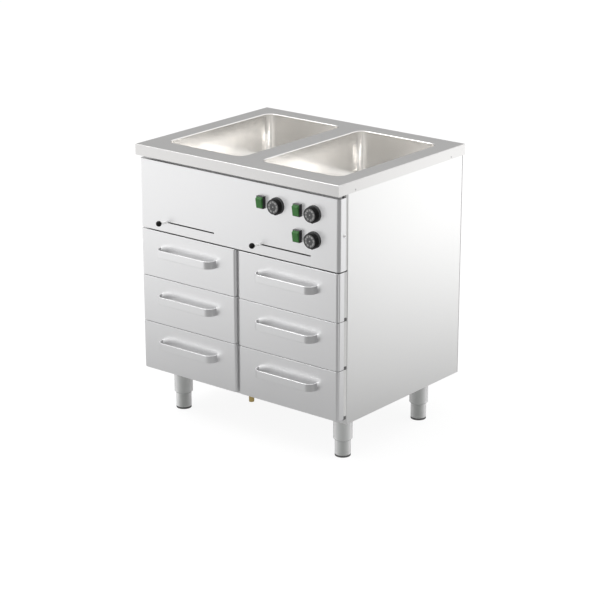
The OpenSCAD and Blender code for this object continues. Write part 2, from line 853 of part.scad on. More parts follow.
worktop();
control_panel();
side_panel(-1);  // side_panel_left
side_panel(1);  // side_panel_right
back_panel();
base_plate();
inner_deck();
centre_divider();
centre_strip();
drawer_buffers();
panel_screws();
leg_sockets();
thermostats();
drain_pipe();
drain_outlet();
well_heaters();
cupboard_heaters();
cable_gland();
for (i = [0, 1]) {
    side = 2 * i - 1;
    well(side);
    drain_valve(side);
    drawer_rails(side);
    drain_lever(side);
    lever_ball(side);
    for (row = [0, 1, 2]) {
        place = str(COLUMNS[i], "_", ROWS[row]);
        drawer_front(side, row);
        drawer_box(side, row);
        drawer_handle(side, row);
    }
}
for (i = [0, 1, 2]) {
    switch_housing(switch_places[i]);
    rocker(switch_places[i]);
    knob(switch_places[i]);
}
for (i = [0, 1], j = [0, 1])
    foot(2 * i - 1, 2 * j - 1);
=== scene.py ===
import math

import bmesh
import bpy
from mathutils import Matrix, Vector


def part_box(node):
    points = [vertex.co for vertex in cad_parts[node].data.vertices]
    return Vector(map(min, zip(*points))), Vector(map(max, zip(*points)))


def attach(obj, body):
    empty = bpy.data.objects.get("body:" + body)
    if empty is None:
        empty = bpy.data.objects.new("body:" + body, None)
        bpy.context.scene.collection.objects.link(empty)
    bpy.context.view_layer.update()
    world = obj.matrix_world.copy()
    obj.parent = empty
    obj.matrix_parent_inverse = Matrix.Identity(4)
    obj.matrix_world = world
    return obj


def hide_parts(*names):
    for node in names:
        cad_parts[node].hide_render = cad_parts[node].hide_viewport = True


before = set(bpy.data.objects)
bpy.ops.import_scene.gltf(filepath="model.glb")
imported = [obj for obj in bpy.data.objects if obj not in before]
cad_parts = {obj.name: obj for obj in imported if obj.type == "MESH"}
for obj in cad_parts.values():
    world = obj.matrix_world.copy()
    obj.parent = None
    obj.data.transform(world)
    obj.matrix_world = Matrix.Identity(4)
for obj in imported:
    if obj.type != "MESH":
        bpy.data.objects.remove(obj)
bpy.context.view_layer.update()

# Camera. It stands far off, to the right of the front and above the worktop, with a long lens;
# its place and aim make the cabinet's straight edges run as they do in the photograph.
scene = bpy.context.scene
scene.view_settings.view_transform = "Standard"
camera_place = Vector((3.9543, -4.9067, 2.4792))
camera_aim = Vector((0.0054, 0.0154, 0.3788))
camera_data = bpy.data.cameras.new("camera")
camera_data.sensor_width = 36.0
camera_data.lens = 123.72
camera_data.clip_end = 60.0
camera = bpy.data.objects.new("camera", camera_data)
camera.location = camera_place
camera.rotation_euler = (camera_aim - camera_place).to_track_quat("-Z", "Y").to_euler()
scene.collection.objects.link(camera)
scene.camera = camera

# Floor. A wide pale floor, plain white to the camera but for the soft shadow of the cabinet.
# In the steel it shows a painted glow with painted shade, darker close to the object and towards
# the camera.
camera_side = Vector((0.78, -0.626, 0.0))
bright_side = Vector((0.626, 0.78, 0.0))
floor_radius = 16.0
floor_pale = (0.8, 0.8, 0.8, 1.0)
floor_mesh = bpy.data.meshes.new("floor")
floor_build = bmesh.new()
bmesh.ops.create_circle(floor_build, cap_ends=True, segments=96, radius=floor_radius)
floor_build.to_mesh(floor_mesh)
floor_build.free()
floor = bpy.data.objects.new("floor", floor_mesh)
scene.collection.objects.link(floor)
floor_material = bpy.data.materials.new("pale floor")
floor_material.use_nodes = True
floor_mesh.materials.append(floor_material)
tree = floor_material.node_tree
link = tree.links.new
tree.nodes.remove(tree.nodes["Principled BSDF"])
where = tree.nodes.new("ShaderNodeTexCoord")
reach = tree.nodes.new("ShaderNodeVectorMath")
reach.operation = "LENGTH"
link(where.outputs["Object"], reach.inputs[0])


def ramp(tree, source, start, end, low=0.0, high=1.0, smooth=False):
    """Adds a node that turns a value between start and end into one between low and high."""
    node = tree.nodes.new("ShaderNodeMapRange")
    node.interpolation_type = "SMOOTHSTEP" if smooth else "LINEAR"
    node.inputs["From Min"].default_value = start
    node.inputs["From Max"].default_value = end
    node.inputs["To Min"].default_value = low
    node.inputs["To Max"].default_value = high
    tree.links.new(source, node.inputs["Value"])
    return node.outputs["Result"]


def along(tree, source, direction):
    """Adds a node that measures how far a vector goes in a direction."""
    node = tree.nodes.new("ShaderNodeVectorMath")
    node.operation = "DOT_PRODUCT"
    node.inputs[1].default_value = direction
    tree.links.new(source, node.inputs[0])
    return node.outputs["Value"]


def joined(tree, operation, first, second):
    """Adds a node that works out one value from two."""
    node = tree.nodes.new("ShaderNodeMath")
    node.operation = operation
    tree.links.new(first, node.inputs[0])
    tree.links.new(second, node.inputs[1])
    return node.outputs["Value"]


# Painted glow seen only in reflections: painted shade near the cabinet and towards the camera,
# painted light farther off and to the bright side.
far_glow = ramp(tree, reach.outputs["Value"], 0.2, 3.0, 0.34, 1.16)
right_lift = ramp(tree, along(tree, where.outputs["Object"], bright_side), 0.0, 0.8, 1.0, 1.25)
side_glow = joined(tree, "MULTIPLY", far_glow, right_lift)
shade_share = ramp(tree, along(tree, where.outputs["Object"], camera_side), 0.6, 0.95, smooth=True)
painted_floor_glow = tree.nodes.new("ShaderNodeMix")
painted_floor_glow.inputs["B"].default_value = 0.33
link(shade_share, painted_floor_glow.inputs["Factor"])
link(side_glow, painted_floor_glow.inputs["A"])
painted_mirror_floor = tree.nodes.new("ShaderNodeEmission")
link(painted_floor_glow.outputs["Result"], painted_mirror_floor.inputs["Strength"])
lit_floor = tree.nodes.new("ShaderNodeBsdfDiffuse")
lit_floor.inputs["Color"].default_value = floor_pale
white_floor = tree.nodes.new("ShaderNodeEmission")
white_floor.inputs["Strength"].default_value = 0.88
shadow_floor = tree.nodes.new("ShaderNodeBsdfDiffuse")
shadow_floor.inputs["Color"].default_value = (0.16, 0.16, 0.16, 1.0)
seen_floor = tree.nodes.new("ShaderNodeAddShader")
link(white_floor.outputs["Emission"], seen_floor.inputs[0])
link(shadow_floor.outputs["BSDF"], seen_floor.inputs[1])
ray = tree.nodes.new("ShaderNodeLightPath")
mirror_ray = joined(tree, "MAXIMUM", ray.outputs["Is Glossy Ray"],
                    ray.outputs["Is Transmission Ray"])
seen_or_lit = tree.nodes.new("ShaderNodeMixShader")
link(ray.outputs["Is Camera Ray"], seen_or_lit.inputs["Fac"])
link(lit_floor.outputs["BSDF"], seen_or_lit.inputs[1])
link(seen_floor.outputs["Shader"], seen_or_lit.inputs[2])
whole_floor = tree.nodes.new("ShaderNodeMixShader")
link(mirror_ray, whole_floor.inputs["Fac"])
link(seen_or_lit.outputs["Shader"], whole_floor.inputs[1])
link(painted_mirror_floor.outputs["Emission"], whole_floor.inputs[2])
link(whole_floor.outputs["Shader"], tree.nodes["Material Output"].inputs["Surface"])

# Light. A large pale room with two bright sides, quieter towards the camera and behind, because
# steel shows its bends only by what they mirror; one wide lamp overhead adds a soft direction.
world = bpy.data.worlds.new("studio")
world.use_nodes = True
scene.world = world
tree = world.node_tree
link = tree.links.new
background = tree.nodes["Background"]
where = tree.nodes.new("ShaderNodeTexCoord")
both_sides = tree.nodes.new("ShaderNodeMath")
both_sides.operation = "ABSOLUTE"
link(along(tree, where.outputs["Generated"], bright_side), both_sides.inputs[0])
side_share = ramp(tree, both_sides.outputs["Value"], 0.55, 0.97, smooth=True)
upward = tree.nodes.new("ShaderNodeSeparateXYZ")
link(where.outputs["Generated"], upward.inputs["Vector"])
overhead_glow = ramp(tree, upward.outputs["Z"], 0.2, 0.75, 0.36, 1.1)
room_glow = tree.nodes.new("ShaderNodeMix")
room_glow.inputs["B"].default_value = 1.15
link(side_share, room_glow.inputs["Factor"])
link(overhead_glow, room_glow.inputs["A"])
ray = tree.nodes.new("ShaderNodeLightPath")
seen_glow = tree.nodes.new("ShaderNodeMix")
seen_glow.inputs["B"].default_value = 1.0
link(ray.outputs["Is Camera Ray"], seen_glow.inputs["Factor"])
link(room_glow.outputs["Result"], seen_glow.inputs["A"])
link(seen_glow.outputs["Result"], background.inputs["Strength"])
background.inputs["Color"].default_value = (1.0, 1.0, 1.0, 1.0)
lamp_place = Vector((-1.6, -1.8, 3.4))
lamp_aim = Vector((0.0, 0.0, 0.6))
lamp_data = bpy.data.lights.new("wide lamp", "AREA")
lamp_data.shape = "SQUARE"
lamp_data.size = 1.5
lamp_data.energy = 34.0
lamp = bpy.data.objects.new("wide lamp", lamp_data)
lamp.location = lamp_place
lamp.rotation_euler = (lamp_aim - lamp_place).to_track_quat("-Z", "Y").to_euler()
scene.collection.objects.link(lamp)

# Legs. Four satin grey tubes with square flanges, screwed up under the base; in each slides a
# turned foot, closed below by a dark rubber pad that is pressed on.
steel_grain = bpy.data.node_groups.new("steel grain", "ShaderNodeTree")
steel_grain.interface.new_socket("Grain", in_out="INPUT", socket_type="NodeSocketVector")
steel_grain.interface.new_socket("Lines", in_out="OUTPUT", socket_type="NodeSocketFloat")
steel_grain.interface.new_socket("Cloud", in_out="OUTPUT", socket_type="NodeSocketFloat")
link = steel_grain.links.new
given = steel_grain.nodes.new("NodeGroupInput")
result = steel_grain.nodes.new("NodeGroupOutput")
where = steel_grain.nodes.new("ShaderNodeTexCoord")
stretched = steel_grain.nodes.new("ShaderNodeVectorMath")
stretched.operation = "MULTIPLY"
link(where.outputs["Object"], stretched.inputs[0])
link(given.outputs["Grain"], stretched.inputs[1])
line_noise = steel_grain.nodes.new("ShaderNodeTexNoise")
line_noise.inputs["Scale"].default_value = 1.0
line_noise.inputs["Detail"].default_value = 3.0
line_noise.inputs["Roughness"].default_value = 0.6
link(stretched.outputs["Vector"], line_noise.inputs["Vector"])
link(line_noise.outputs["Fac"], result.inputs["Lines"])
cloud_noise = steel_grain.nodes.new("ShaderNodeTexNoise")
cloud_noise.inputs["Scale"].default_value = 7.0
cloud_noise.inputs["Detail"].default_value = 3.0
link(where.outputs["Object"], cloud_noise.inputs["Vector"])
link(cloud_noise.outputs["Fac"], result.inputs["Cloud"])


# In a Mix node set to colours, these sockets are its two colours and its result.
first_colour = 6
second_colour = 7
mixed_colour = 2


def grained_metal(name, colour, roughness, grain, contrast=0.05, relief=0.012, metal=1.0, painted_rim_highlight=0.0,
                  painted_upper_glow=0.0):
    """Metal whose fine lines run where grain, counts per metre along X, Y and Z, is small.

    A rim above 0 paints a highlight: it turns the colour that far towards white where the surface
    curves out of sight, but not where it faces down. A glow above 0 is a painted reflection: the
    piece glows only in the steel behind it, paler towards its upper edge, as if lit from overhead.
    """
    wear = 0.1
    material = bpy.data.materials.new(name)
    material.use_nodes = True
    tree = material.node_tree
    link = tree.links.new
    shader = tree.nodes["Principled BSDF"]
    shader.inputs["Metallic"].default_value = metal
    lines = tree.nodes.new("ShaderNodeGroup")
    lines.node_tree = steel_grain
    lines.inputs["Grain"].default_value = grain
    blend = tree.nodes.new("ShaderNodeMix")
    blend.inputs["Factor"].default_value = 0.5
    link(lines.outputs["Lines"], blend.inputs["A"])
    link(lines.outputs["Cloud"], blend.inputs["B"])
    tone = tree.nodes.new("ShaderNodeMix")
    tone.data_type = "RGBA"
    tone.inputs[first_colour].default_value = [c * (1.0 - contrast) for c in colour] + [1.0]
    tone.inputs[second_colour].default_value = [c * (1.0 + contrast) for c in colour] + [1.0]
    link(blend.outputs["Result"], tone.inputs["Factor"])
    link(tone.outputs[mixed_colour], shader.inputs["Base Color"])
    # Painted highlight: towards the rim the colour turns white, standing in for the bright room
    # that the edge would mirror.
    if painted_rim_highlight > 0.0:
        turned_away = tree.nodes.new("ShaderNodeLayerWeight")
        surface = tree.nodes.new("ShaderNodeNewGeometry")
        tilt = tree.nodes.new("ShaderNodeSeparateXYZ")
        link(surface.outputs["Normal"], tilt.inputs["Vector"])
        share = joined(tree, "MULTIPLY", ramp(tree, turned_away.outputs["Facing"], 0.05, 0.5),
                       ramp(tree, tilt.outputs["Z"], -0.6, -0.2, 0.0, painted_rim_highlight))
        painted_rim_colour = tree.nodes.new("ShaderNodeMix")
        painted_rim_colour.data_type = "RGBA"
        painted_rim_colour.inputs[second_colour].default_value = (1.0, 1.0, 1.0, 1.0)
        link(share, painted_rim_colour.inputs["Factor"])
        link(tone.outputs[mixed_colour], painted_rim_colour.inputs[first_colour])
        link(painted_rim_colour.outputs[mixed_colour], shader.inputs["Base Color"])
    polish = ramp(tree, blend.outputs["Result"], 0.0, 1.0, roughness * (1.0 - wear),
                  roughness * (1.0 + wear))
    link(polish, shader.inputs["Roughness"])
    bump = tree.nodes.new("ShaderNodeBump")
    bump.inputs["Strength"].default_value = relief
    bump.inputs["Distance"].default_value = 0.0002
    link(lines.outputs["Lines"], bump.inputs["Height"])
    link(bump.outputs["Normal"], shader.inputs["Normal"])
    # Painted reflection: a glow that only glossy rays see, paler towards the upper edge.
    if painted_upper_glow > 0.0:
        where = tree.nodes.new("ShaderNodeTexCoord")
        upward = tree.nodes.new("ShaderNodeSeparateXYZ")
        link(where.outputs["Generated"], upward.inputs["Vector"])
        ray = tree.nodes.new("ShaderNodeLightPath")
        mirrored = joined(tree, "MULTIPLY", ray.outputs["Is Glossy Ray"],
                          ramp(tree, upward.outputs["Z"], 0.45, 0.95, 0.0, painted_upper_glow))
        link(mirrored, shader.inputs["Emission Strength"])
        shader.inputs["Emission Color"].default_value = (1.0, 1.0, 1.0, 1.0)
    return material


def dress(slot, material):
    """Gives a finish to all CAD nodes of one record slot."""
    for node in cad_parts.values():
        for holder in node.material_slots:
            if holder.material.name == slot:
                holder.material = material


def soften(names, width):
    """Breaks the sharp edges of CAD nodes, as a deburred sheet or a mould leaves them."""
    for name in names:
        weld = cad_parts[name].modifiers.new("joined corners", "WELD")
        weld.merge_threshold = 0.00002
        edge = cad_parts[name].modifiers.new("broken edges", "BEVEL")
        edge.width = width
        edge.segments = 2
        edge.limit_method = "ANGLE"
        edge.angle_limit = math.radians(40.0)


def arc(centre_x, centre_y, radius, start, end, steps):
    """Points round part of a circle, each with its outward direction; angles in degrees."""
    points = []
    for i in range(steps + 1):
        angle = math.radians(start + (end - start) * i / steps)
        out = Vector((math.cos(angle), math.sin(angle), 0.0))
        points.append((Vector((centre_x, centre_y, 0.0)) + radius * out, out))
    return points


def turned(build, profile, place=Matrix.Identity(4), steps=48):
    """Adds a turned solid to a bmesh: profile holds (radius, height) pairs from axis to axis."""
    rings = []
    for radius, height in profile:
        count = steps if radius > 0.0 else 1
        ring = []
        for i in range(count):
            angle = 2.0 * math.pi * i / steps
            point = Vector((radius * math.cos(angle), radius * math.sin(angle), height))
            ring.append(build.verts.new(place @ point))
        rings.append(ring)
    for low, high in zip(rings, rings[1:]):
        for i in range(steps):
            corners = [low[i % len(low)], low[(i + 1) % len(low)]]
            corners += [high[(i + 1) % len(high)], high[i % len(high)]]
            build.faces.new(list(dict.fromkeys(corners)))


def piece(name, build, material, body, replaced=None):
    """Turns a bmesh into a piece of the object that rides on a body."""
    mesh = bpy.data.meshes.new(name)
    bmesh.ops.recalc_face_normals(build, faces=build.faces)
    build.to_mesh(mesh)
    build.free()
    mesh.shade_smooth()
    mesh.set_sharp_from_angle(angle=math.radians(35.0))
    mesh.materials.append(material)
    made = bpy.data.objects.new(name, mesh)
    scene.collection.objects.link(made)
    made.modifiers.new("flat faces stay flat", "WEIGHTED_NORMAL").keep_sharp = True
    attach(made, body)
    if replaced:
        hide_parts(replaced)


moulded_skin = bpy.data.node_groups.new("moulded skin", "ShaderNodeTree")
moulded_skin.interface.new_socket("Fineness", in_out="INPUT", socket_type="NodeSocketFloat")
moulded_skin.interface.new_socket("Stipple", in_out="OUTPUT", socket_type="NodeSocketFloat")
moulded_skin.interface.new_socket("Bloom", in_out="OUTPUT", socket_type="NodeSocketFloat")
link = moulded_skin.links.new
given = moulded_skin.nodes.new("NodeGroupInput")
result = moulded_skin.nodes.new("NodeGroupOutput")
where = moulded_skin.nodes.new("ShaderNodeTexCoord")
stipple_noise = moulded_skin.nodes.new("ShaderNodeTexNoise")
stipple_noise.inputs["Detail"].default_value = 2.0
link(where.outputs["Object"], stipple_noise.inputs["Vector"])
link(given.outputs["Fineness"], stipple_noise.inputs["Scale"])
link(stipple_noise.outputs["Fac"], result.inputs["Stipple"])
bloom_noise = moulded_skin.nodes.new("ShaderNodeTexNoise")
bloom_noise.inputs["Scale"].default_value = 60.0
bloom_noise.inputs["Detail"].default_value = 3.0
link(where.outputs["Object"], bloom_noise.inputs["Vector"])
link(bloom_noise.outputs["Fac"], result.inputs["Bloom"])


def moulded(name, colour, roughness, fineness=1800.0, contrast=0.15, relief=0.1, gloss=0.5,
            mirrored=1.0):
    """Moulded plastic or rubber with a fine stipple and a faint dusty bloom.

    Where mirrored is below 1, the steel around shows only that share of it, as dull brushed steel
    does not give back small dark things.
    """
    wear = 0.15
    material = bpy.data.materials.new(name)
    material.use_nodes = True
    tree = material.node_tree
    link = tree.links.new
    shader = tree.nodes["Principled BSDF"]
    shader.inputs["Specular IOR Level"].default_value = gloss
    skin = tree.nodes.new("ShaderNodeGroup")
    skin.node_tree = moulded_skin
    skin.inputs["Fineness"].default_value = fineness
    tone = tree.nodes.new("ShaderNodeMix")
    tone.data_type = "RGBA"
    tone.inputs[first_colour].default_value = [c * (1.0 - contrast) for c in colour] + [1.0]
    tone.inputs[second_colour].default_value = [c * (1.0 + contrast) for c in colour] + [1.0]
    link(skin.outputs["Bloom"], tone.inputs["Factor"])
    link(tone.outputs[mixed_colour], shader.inputs["Base Color"])
    polish = ramp(tree, skin.outputs["Bloom"], 0.0, 1.0, roughness * (1.0 - wear),
                  roughness * (1.0 + wear))
    link(polish, shader.inputs["Roughness"])
    bump = tree.nodes.new("ShaderNodeBump")
    bump.inputs["Strength"].default_value = relief
    bump.inputs["Distance"].default_value = 0.0003
    link(skin.outputs["Stipple"], bump.inputs["Height"])
    link(bump.outputs["Normal"], shader.inputs["Normal"])
    if mirrored < 1.0:
        ray = tree.nodes.new("ShaderNodeLightPath")
        share = ramp(tree, ray.outputs["Is Glossy Ray"], 0.0, 1.0, 1.0, mirrored)
        link(share, shader.inputs["Alpha"])
    return material


# The legs' pale edges are a painted rim highlight.
leg_finish = grained_metal("satin grey leg", (0.40, 0.411, 0.40), roughness=0.2,
                           grain=(60, 60, 900), contrast=0.03, metal=0.3, painted_rim_highlight=1.0)
pad_finish = moulded("dark foot pad", (0.12, 0.12, 0.12), roughness=0.55)
dress("leg_metal", leg_finish)
socket_edge = 0.0003
soften(["leg_sockets"], socket_edge)
pad_height = 0.005
pad_lip = 0.0008
foot_edge = 0.003
foot_edge_steps = 6
for corner in ("front_left", "front_right", "back_left", "back_right"):
    low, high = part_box("foot_" + corner)
    radius = (high.x - low.x) / 2
    foot_place = Matrix.Translation(((low.x + high.x) / 2, (low.y + high.y) / 2, 0.0))
    stem = [(0.0, pad_height)]
    for point, _ in arc(radius - foot_edge, pad_height + foot_edge, foot_edge, 270.0, 360.0,
                        foot_edge_steps):
        stem.append((point.x, point.y))
    stem += [(radius, high.z - foot_edge), (radius - foot_edge, high.z), (0.0, high.z)]
    stem_build = bmesh.new()
    turned(stem_build, stem, foot_place, steps=64)
    piece("foot_stem_" + corner, stem_build, leg_finish, "foot_" + corner,
          "foot_" + corner)
    pad_build = bmesh.new()
    turned(pad_build, [(0.0, low.z), (radius - pad_lip, low.z), (radius, low.z + pad_lip),
                       (radius, pad_height), (0.0, pad_height)], foot_place, steps=64)
    piece("foot_pad_" + corner, pad_build, pad_finish, "foot_" + corner)

# Inside of the cabinet. The base pan, the deck under the controls, the hollow middle wall with its
# cover strip, the drawer runners and the drawer boxes are plain folded sheet, spot-welded together.
inner_finish = grained_metal("plain rolled steel", (0.80, 0.80, 0.80), roughness=0.42,
                             grain=(40, 420, 420), contrast=0.07)
dress("inner_steel", inner_finish)
inner_edge = 0.0005
soften(["base_plate", "inner_deck", "centre_divider"], inner_edge)
soften(["drawer_rails_left", "drawer_rails_right"], inner_edge)

# Side and back panels. Single steel sheets with upright grain; the sides are folded in at the
# front and back, where the cabinet is joined, and the flat back closes them.
side_finish = grained_metal("upright brushed side", (0.84, 0.84, 0.835), roughness=0.31,
                            grain=(300, 300, 8), contrast=0.015, relief=0.006)
dress("side_steel", side_finish)
side_edge = 0.0008
soften(["side_panel_left", "side_panel_right", "back_panel"], side_edge)

# Worktop. One sheet folded down to a skirt all round, its corners welded and ground flush, with
# a lengthways grain; flat rivet heads on the side skirts hold it to the cabinet.
worktop_finish = grained_metal("brushed worktop", (0.71, 0.703, 0.695), roughness=0.31,
                               grain=(14, 420, 420), contrast=0.03, relief=0.006)
dress("worktop_steel", worktop_finish)
rivet_finish = grained_metal("flat rivet", (0.5, 0.5, 0.5), roughness=0.32, grain=(300, 300, 300),
                             contrast=0.06)
rivet_radius = 0.0028
rivet_rise = 0.0007
rivet_drop = 0.028
rivet_from_front = 0.081
rivet_from_back = 0.075
# Half section of a rivet head, as shares of its radius and rise.
rivet_section = ((1.0, 0.0), (0.9, 0.7), (0.5, 1.0), (0.0, 1.0))
rivet_profile = [(out * rivet_radius, up * rivet_rise) for out, up in rivet_section]
top_low, top_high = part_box("worktop")
rivet_build = bmesh.new()
for side, wall in ((-1.0, top_low.x), (1.0, top_high.x)):
    for rivet_y in (top_low.y + rivet_from_front, top_high.y - rivet_from_back):
        rivet_place = Matrix.Translation((wall, rivet_y, top_high.z - rivet_drop))
        rivet_place = rivet_place @ Matrix.Rotation(side * math.pi / 2, 4, "Y")
        turned(rivet_build, rivet_profile, rivet_place, steps=24)
piece("worktop_rivets", rivet_build, rivet_finish, "cabinet")

# Wells. Deep pressed basins with rolled rims, brighter than the worktop, welded into its two
# openings and ground flush; a loose pressed strainer lies over each drain.
well_finish = grained_metal("pressed basin", (0.922, 0.91, 0.892), roughness=0.2,
                            grain=(30, 420, 420), contrast=0.012, relief=0.003)
dress("well_steel", well_finish)
strainer_finish = grained_metal("pressed strainer", (0.75, 0.74, 0.72), roughness=0.24,
                                grain=(200, 200, 200))
strainer_radius = 0.026
strainer_rise = 0.0022
drain_depth = 0.16
# Half section of a strainer from its underside round to its middle, as shares of radius and rise.
strainer_section = ((0.0, 0.0), (1.0, 0.0), (1.0, 0.3), (0.8, 1.0), (0.7, 0.8), (0.0, 0.6))
strainer_profile = [(out * strainer_radius, up * strainer_rise) for out, up in strainer_section]
for column in ("left", "right"):
    low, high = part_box("well_" + column)
    floor_height = high.z - drain_depth
    middle = Vector(((low.x + high.x) / 2, (low.y + high.y) / 2, floor_height))
    strainer_build = bmesh.new()
    turned(strainer_build, strainer_profile, Matrix.Translation(middle))
    piece("strainer_" + column, strainer_build, strainer_finish, "cabinet")

# Under the wells. Turned valve bodies, the pipe that joins them to the brass drain outlet, tube
# heaters darkened by their own heat and, behind the panel, round zinc-plated thermostat bodies.
pipe_finish = grained_metal("turned pipe steel", (0.66, 0.66, 0.66), roughness=0.32,
                            grain=(60, 60, 1400), contrast=0.08)
brass_finish = grained_metal("turned brass", (0.72, 0.55, 0.22), roughness=0.24,
                             grain=(60, 60, 1600), contrast=0.10)
heater_finish = grained_metal("heat-darkened tube", (0.16, 0.14, 0.13), roughness=0.45,
                              grain=(180, 180, 180), contrast=0.25)
zinc_finish = grained_metal("zinc plate", (0.62, 0.63, 0.65), roughness=0.42, grain=(200, 200, 200),
                            contrast=0.12)
dress("pipe_steel", pipe_finish)
dress("brass", brass_finish)
dress("heater_metal", heater_finish)
dress("zinc", zinc_finish)
outlet_edge = 0.0005
soften(["drain_outlet"], outlet_edge)

# Control panel. A steel front folded back on all sides, with the grain lying across, punched for
# switches, shafts and levers, and held by screws in its ends.
front_finish = grained_metal("brushed front", (0.845, 0.845, 0.85), roughness=0.34,
                             grain=(12, 420, 420), contrast=0.015, relief=0.006)
dress("front_steel", front_finish)
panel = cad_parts["control_panel"]
panel.modifiers.new("flat faces stay flat", "WEIGHTED_NORMAL").keep_sharp = True

# Switches. Black snap-in housings, each with a broad green rocker that stands out of it on a cross
# pin, its upper end tipped forward.
housing_finish = moulded("black switch housing", (0.012, 0.013, 0.013), roughness=0.35, gloss=0.6,
                         mirrored=0.2)
rocker_finish = moulded("green rocker", (0.035, 0.15, 0.032), roughness=0.35, gloss=0.35,
                        mirrored=0.2)
dress("switch_black", housing_finish)
dress("switch_green", rocker_finish)
housing_wall = 0.0015
housing_edge = 0.0006
housing_out = 0.0125
recess_floor = 0.0025
rocker_play = 0.0003
rocker_edge = 0.0009
rocker_half = 0.0172
edge_steps = 3
facing_front = -0.999
# Side view of a rocker: how far out of the panel, and height as a share of half its height.
rocker_view = (
    (0.008, -0.96),
    (0.0152, -1.0),
    (0.0198, 0.67),
    (0.013, 0.975),
    (0.008, 0.975))


def walled(build, rings):
    """Joins rings of points to a closed solid."""
    for lower, upper in zip(rings, rings[1:]):
        for i in range(len(lower)):
            after = (i + 1) % len(lower)
            build.faces.new([lower[i], lower[after], upper[after], upper[i]])
    build.faces.new(rings[0])
    build.faces.new(rings[-1])


for place in ("left", "upper", "lower"):
    low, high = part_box("switch_housing_" + place)
    panel_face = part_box("control_panel")[0].y
    middle = Vector(((low.x + high.x) / 2, panel_face, (low.z + high.z) / 2))
    size = Vector((high.x - low.x, housing_out, high.z - low.z))
    housing_build = bmesh.new()
    bmesh.ops.create_cube(housing_build, size=1.0, matrix=Matrix.Diagonal(size.to_4d()))
    bmesh.ops.bevel(housing_build, geom=housing_build.edges[:], offset=housing_edge,
                    segments=edge_steps, profile=0.5, affect="EDGES")
    front = [face for face in housing_build.faces if face.normal.y < facing_front]
    bmesh.ops.inset_region(housing_build, faces=front, thickness=housing_wall - housing_edge)
    bmesh.ops.inset_region(housing_build, faces=front, depth=recess_floor - housing_out)
    bmesh.ops.translate(housing_build, verts=housing_build.verts,
                        vec=middle - Vector((0.0, housing_out / 2, 0.0)))
    piece("switch_case_" + place, housing_build, housing_finish, "cabinet",
          "switch_housing_" + place)
    half_width = size.x / 2 - housing_wall - rocker_play
    rocker_build = bmesh.new()
    ends = []
    for side in (-half_width, half_width):
        ends.append([rocker_build.verts.new(middle + Vector((side, -out, share * rocker_half)))
                     for out, share in rocker_view])
    walled(rocker_build, ends)
    bmesh.ops.bevel(rocker_build, geom=rocker_build.edges[:], offset=rocker_edge,
                    segments=edge_steps, profile=0.5, affect="EDGES")
    piece("rocker_cap_" + place, rocker_build, rocker_finish, "rocker_" + place,
          "rocker_" + place)

# Knobs. Black moulded thermostat knobs: a ribbed skirt of paler grip plastic, and on it a smoother
# barrel drawn out to a pointer, with a grey dial disc let into the face; its figures are printed,
# here as thin raised shapes.
knob_finish = moulded("black knob", (0.006, 0.006, 0.006), roughness=0.5, gloss=0.15, mirrored=0.08)
skirt_finish = moulded("black knob skirt", (0.045, 0.045, 0.046), roughness=0.5, fineness=900.0,
                       contrast=0.4, relief=0.3, mirrored=0.08)
dial_finish = moulded("grey dial", (0.075, 0.075, 0.077), roughness=0.45, gloss=0.3, mirrored=0.08)
figure_finish = moulded("pale dial print", (0.42, 0.42, 0.41), roughness=0.5, mirrored=0.08)
dress("knob_black", knob_finish)
knob_radius = 0.026
tip_reach = 0.029
knob_gap = 0.001
rib_count = 60
points_per_rib = 3
rib_depth = 0.0005
dial_radius = 0.021
dial_sink = 0.0006
dial_play = 0.0002
dial_rise = 0.0004
hub_radius = 0.002
figure_count = 9
first_figure = 30
figure_gap = 10
figure_ring = 0.0144
figure_step = 38.0
figure_size = 0.0076
figure_rise = 0.00015
# Rings of the skirt from the panel outwards, as shares: radius, pointer reach, depth, rib.
skirt_rings = (
    (0.977, 0.968, 0.0, 0.0),
    (1.0, 1.0, 0.03, 1.0),
    (1.0, 1.0, 0.36, 1.0),
    (0.97, 1.0, 0.39, 0.0),
    (0.92, 0.99, 0.40, 0.0))
# Rings of the barrel from the skirt outwards, as shares: radius, pointer reach, depth.
barrel_rings = (
    (0.93, 0.99, 0.40),
    (0.93, 0.97, 0.55),
    (0.91, 0.87, 0.74),
    (0.895, 0.80, 0.90),
    (0.885, 0.79, 0.96),
    (0.86, 0.77, 1.0))
figures = bmesh.new()
turned(figures, [(0.0, 0.0), (hub_radius, 0.0), (hub_radius, figure_rise), (0.0, figure_rise)],
       steps=24)
for i in range(figure_count):
    lettering = bpy.data.curves.new("figure", "FONT")
    lettering.body = str(first_figure + figure_gap * i)
    lettering.size = figure_size
    lettering.align_x = "CENTER"
    lettering.align_y = "CENTER"
    lettering.extrude = figure_rise
    lettering.offset = figure_rise
    written = bpy.data.objects.new("figure", lettering)
    shape = written.to_mesh()
    turn = Matrix.Rotation(math.radians(figure_step * (figure_count // 2 - i)), 4, "Z")
    shape.transform(turn @ Matrix.Translation((0.0, figure_ring, 0.0)))
    figures.from_mesh(shape)
    bpy.data.objects.remove(written)
    bpy.data.curves.remove(lettering)


def pointed_ring(build, place, radius, reach, height, rib):
    """Adds one ring of a knob: a circle drawn out to a point, with grooves as deep as rib."""
    opening = math.acos(min(1.0, radius / reach))
    ring = []
    point_count = points_per_rib * rib_count
    for i in range(point_count):
        angle = 2.0 * math.pi * i / point_count
        off = abs((angle + math.pi) % (2.0 * math.pi) - math.pi)
        out = radius / math.cos(opening - off) if off < opening else radius
        out -= rib if i % points_per_rib == 0 else 0.0
        point = Vector((-out * math.sin(angle), -out * math.cos(angle), height))
        ring.append(build.verts.new(place @ point))
    return ring


